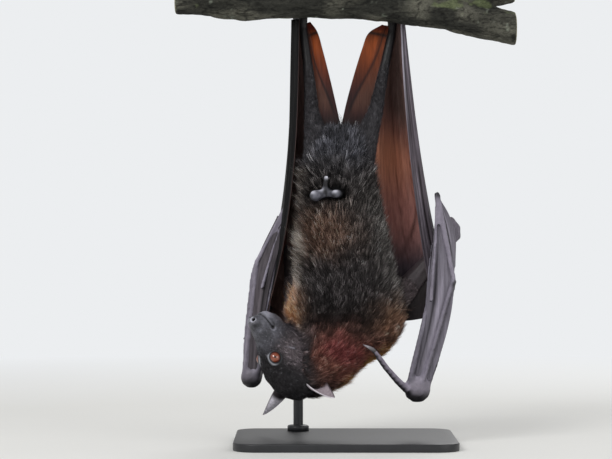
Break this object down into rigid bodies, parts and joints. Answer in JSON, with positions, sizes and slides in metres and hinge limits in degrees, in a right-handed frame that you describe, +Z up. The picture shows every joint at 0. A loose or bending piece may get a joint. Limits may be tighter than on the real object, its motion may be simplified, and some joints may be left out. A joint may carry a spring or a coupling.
{
  "type": "fruit bat",
  "caption": "Life-size large fruit bat hanging head down from a cut branch by its feet, wings folded at its sides, head turned aside, on a plain display stand.",
  "frame": {"origin": "under the middle of the stand's base, on the surface it stands on", "axes": "+Z up; the belly faces -Y, towards the viewer; +X is the bat's own right; the bat hangs head down from a branch that runs along X"},
  "size_m": [0.34, 0.19, 0.4737],
  "materials": {
    "belly_fur": "short dense fur, black-brown with paler tips",
    "mantle_fur": "long soft fur, chestnut with orange tips",
    "face_fur": "short charcoal fur over bare skin at the muzzle",
    "wing_skin": "thin wrinkled skin, grey outside and red-brown inside",
    "claw": "dark horn, semi-gloss",
    "eye": "wet orange-brown iris with a black pupil",
    "bark": "rough cracked bark with lichen, pale cut ends",
    "stand_paint": "satin black"
  },
  "bodies": {
    "root": {"stand_base": "stand_paint", "stand_rod": "stand_paint", "perch": "bark", "head": "face_fur", "jaw": "face_fur", "ear_right": "wing_skin", "ear_left": "wing_skin", "eye_right": "eye", "eye_left": "eye", "neck": "mantle_fur", "trunk": "belly_fur", "scrotum": "wing_skin", "thigh_right": "belly_fur", "thigh_left": "belly_fur", "shin_right": "wing_skin", "shin_left": "wing_skin", "foot_right": "wing_skin", "foot_left": "wing_skin", "tail_web_right": "wing_skin", "tail_web_left": "wing_skin", "upper_arm_right": "belly_fur", "upper_arm_left": "belly_fur", "forearm_right": "wing_skin", "forearm_left": "wing_skin", "wrist_right": "wing_skin", "wrist_left": "wing_skin", "thumb_right": "wing_skin", "thumb_left": "wing_skin", "thumb_claw_right": "claw", "thumb_claw_left": "claw", "finger_2_right": "wing_skin", "finger_2_left": "wing_skin", "finger_3_right": "wing_skin", "finger_3_left": "wing_skin", "finger_4_right": "wing_skin", "finger_4_left": "wing_skin", "finger_5_right": "wing_skin", "finger_5_left": "wing_skin", "palm_web_right": "wing_skin", "palm_web_left": "wing_skin", "tip_web_right": "wing_skin", "tip_web_left": "wing_skin", "arm_web_right": "wing_skin", "arm_web_left": "wing_skin", "cape_right": "wing_skin", "cape_left": "wing_skin"}
  },
  "joints": []
}
